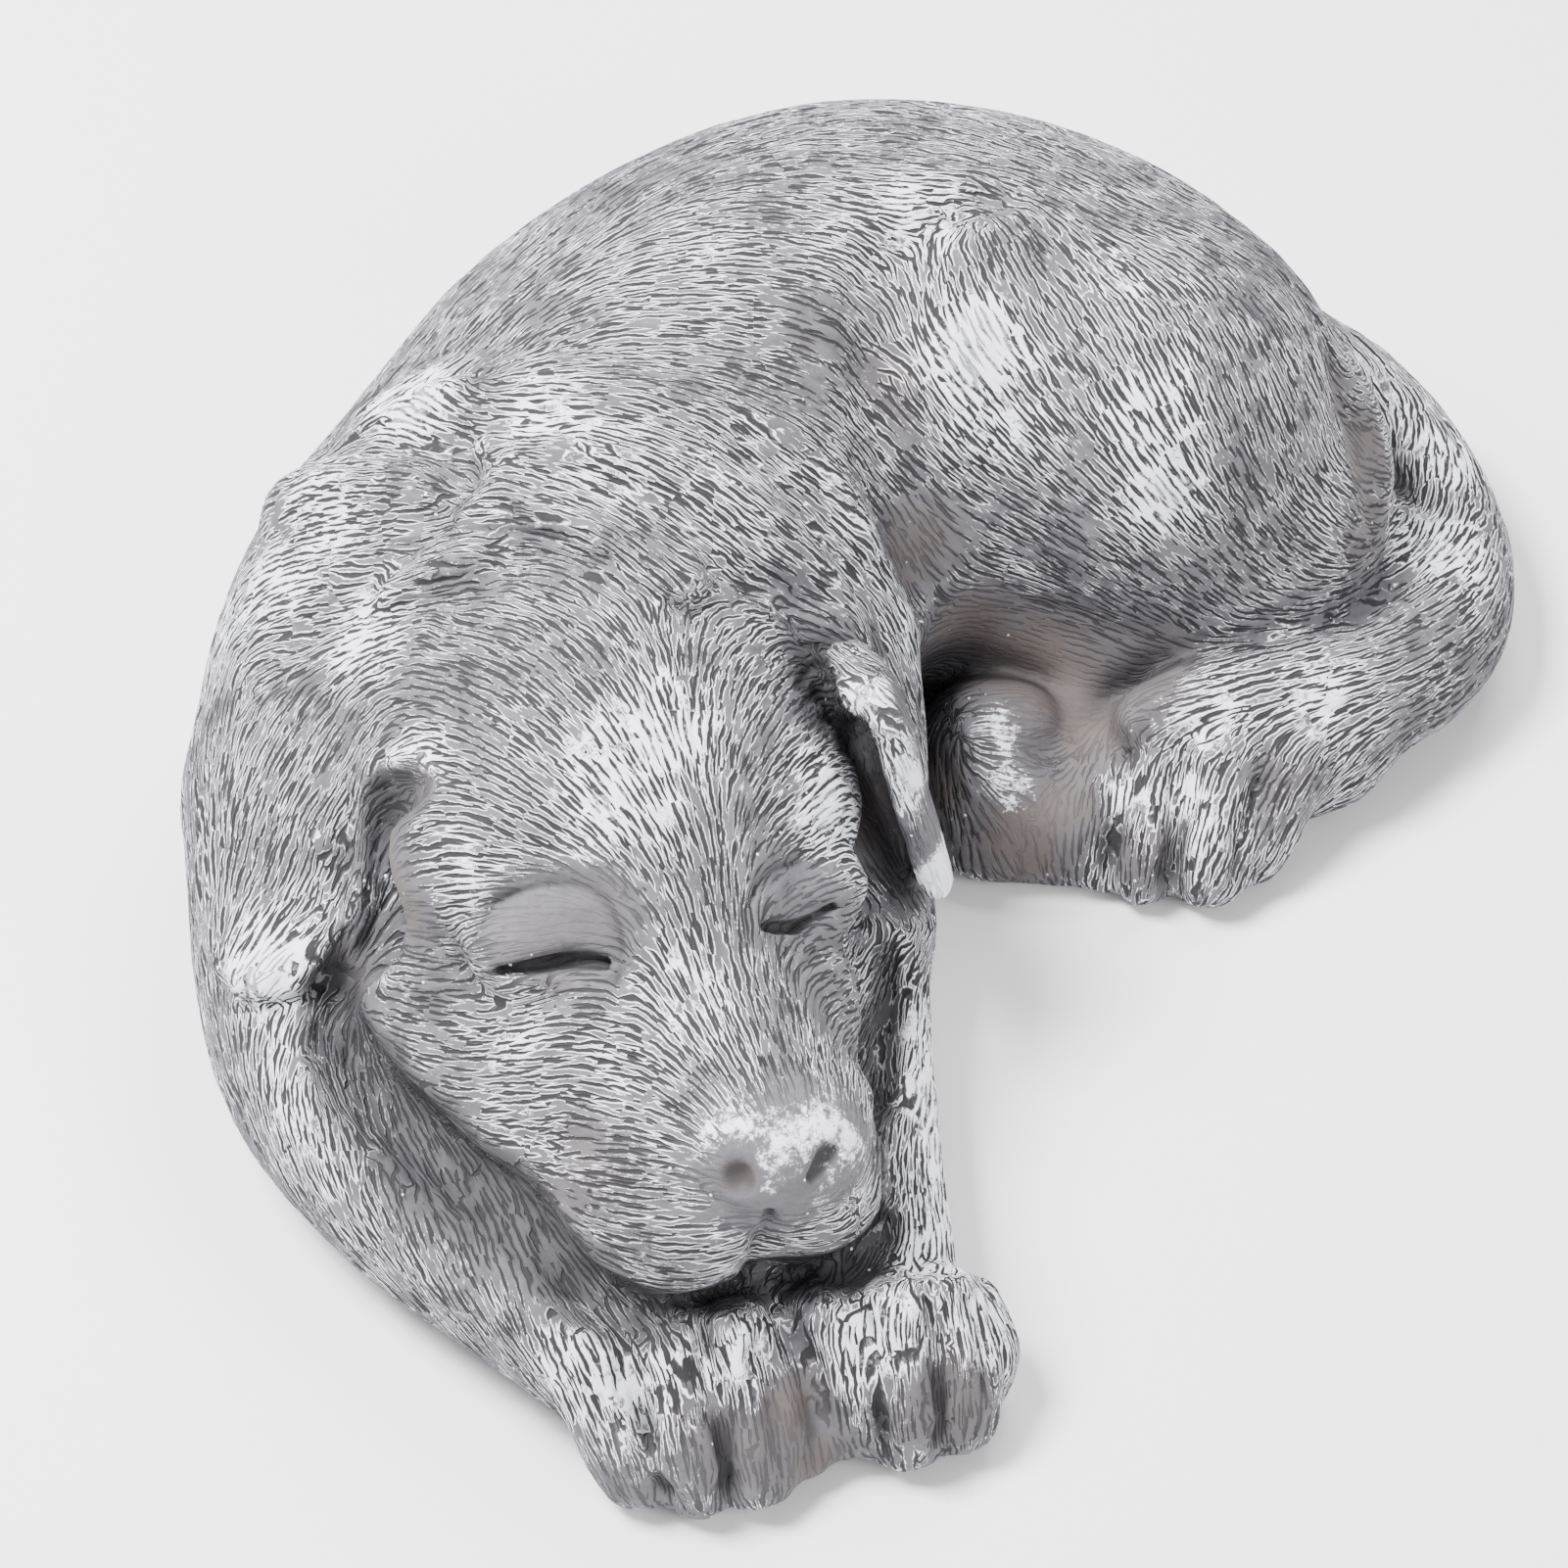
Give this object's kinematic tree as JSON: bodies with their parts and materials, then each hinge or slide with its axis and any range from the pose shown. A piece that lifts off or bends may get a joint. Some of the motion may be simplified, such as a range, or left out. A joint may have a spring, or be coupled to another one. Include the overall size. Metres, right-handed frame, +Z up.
{
  "type": "sleeping puppy memorial figure",
  "caption": "Solid cast figure of a puppy asleep, curled up with its head resting on its forepaws; stands flat on a surface as a memorial.",
  "frame": {"origin": "centre of the figure's bounding box, on the flat underside it stands on", "axes": "+Z up; the forepaws and the nose point to -Y, the curled back is to +Y and -X, and the bend of the tail is at +X"},
  "size_m": [0.1578, 0.1774, 0.0638],
  "materials": {
    "stone_grey_resin": "matt stone-filled resin, mid grey with white dry-brushed ridges and a thin brown wash in the hollows"
  },
  "bodies": {
    "root": {"sleeping_puppy": "stone_grey_resin"}
  },
  "joints": []
}
